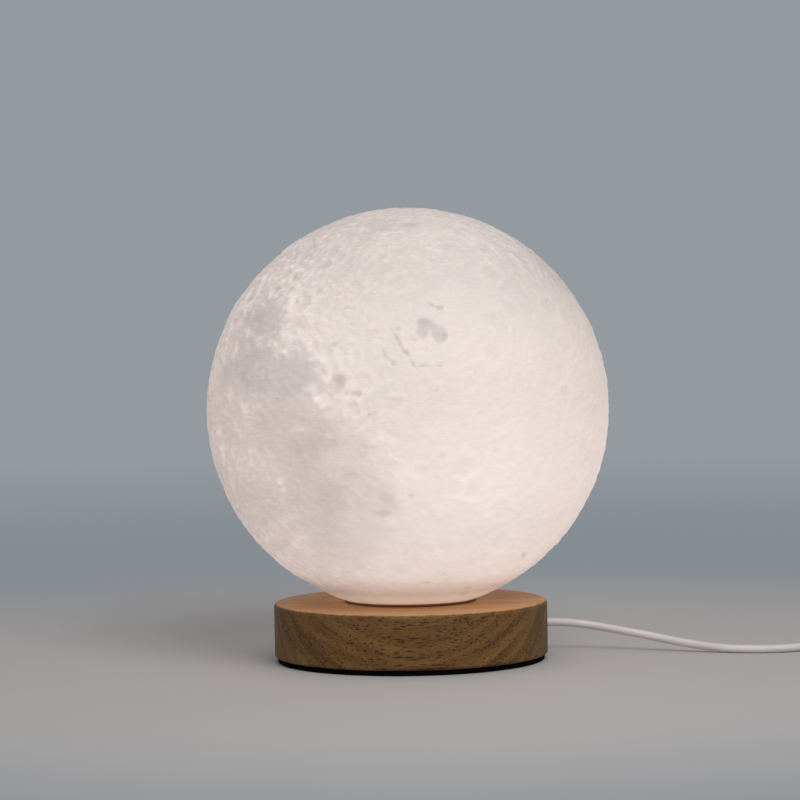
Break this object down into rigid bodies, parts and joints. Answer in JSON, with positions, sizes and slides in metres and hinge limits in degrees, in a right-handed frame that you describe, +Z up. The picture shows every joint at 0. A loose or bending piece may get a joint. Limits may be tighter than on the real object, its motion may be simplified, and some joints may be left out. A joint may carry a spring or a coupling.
{
  "type": "moon lamp",
  "caption": "Table lamp: a printed moon globe resting on a round wooden LED base, with a thin cord, in-line push switch and USB plug.",
  "frame": {"origin": "centre of the base pad's underside, on the lamp's vertical axis", "axes": "+Z up along the lamp's axis; the picture looks along +Y; the cord leaves towards +X"},
  "size_m": [0.3185, 0.15, 0.1687],
  "materials": {
    "moon_print": "satin, translucent, fine print layers",
    "seat_silicone": "matt",
    "wood": "satin oil",
    "pad_foam": "matt, fine closed cells",
    "module_plastic": "fine moulded texture",
    "lens_acrylic": "frosted",
    "board_white": "white solder mask",
    "led_phosphor": "glossy",
    "chip_black": "satin",
    "solder": "bright",
    "screw_steel": "zinc plated",
    "wire_red": "smooth",
    "wire_black": "smooth",
    "cord_pvc": "smooth satin",
    "grommet_rubber": "matt",
    "clamp_plastic": "matt",
    "tie_plastic": "satin",
    "switch_plastic": "fine moulded texture",
    "board_green": "solder mask",
    "block_black": "satin",
    "button_plastic": "satin",
    "spring_steel": "bright",
    "plug_pvc": "fine moulded texture",
    "plug_steel": "bright nickel",
    "plug_insulator": "satin",
    "contact_gold": "gold plated"
  },
  "bodies": {
    "base": {"wooden_base": "wood", "base_pad": "pad_foam", "lamp_cup": "module_plastic", "diffuser_lens": "lens_acrylic", "led_board": "board_white", "leds": "led_phosphor", "resistors": "chip_black", "solder_joints": "solder", "board_screws": "screw_steel", "housing_screws": "screw_steel", "positive_wire": "wire_red", "negative_wire": "wire_black", "inner_cord": "cord_pvc", "cord_grommet": "grommet_rubber", "cord_clamp": "clamp_plastic", "clamp_screws": "screw_steel", "cord_lead": "cord_pvc", "cord_link": "cord_pvc", "cord_coil": "cord_pvc", "cord_tail": "cord_pvc", "coil_tie": "tie_plastic", "switch_lower_shell": "switch_plastic", "switch_upper_shell": "switch_plastic", "switch_boots": "cord_pvc", "switch_board": "board_green", "switch_block": "block_black", "switch_wires": "wire_red", "button_spring": "spring_steel", "switch_screws": "screw_steel", "plug_sleeve": "plug_pvc", "plug_grip": "plug_pvc", "plug_shell": "plug_steel", "plug_insulator": "plug_insulator", "plug_contacts": "contact_gold"},
    "seat": {"seat_ring": "seat_silicone"},
    "moon": {"moon_shell": "moon_print"},
    "button": {"switch_button": "button_plastic"}
  },
  "joints": [
    {"name": "moon_turn", "type": "hinge", "parent": "base", "child": "seat", "pos_m": [0, 0, 0.022], "axis": [0, 0, 1], "continuous": true},
    {"name": "moon_lift", "type": "slide", "parent": "seat", "child": "moon", "axis": [0, 0, 1], "range_m": [0, 0.05]},
    {"name": "switch_press", "type": "slide", "parent": "base", "child": "button", "axis": [0, 0, -1], "range_m": [0, 0.0012], "stiffness_N_per_m": 400, "springref_m": -0.001, "deforming": ["button_spring"]}
  ]
}
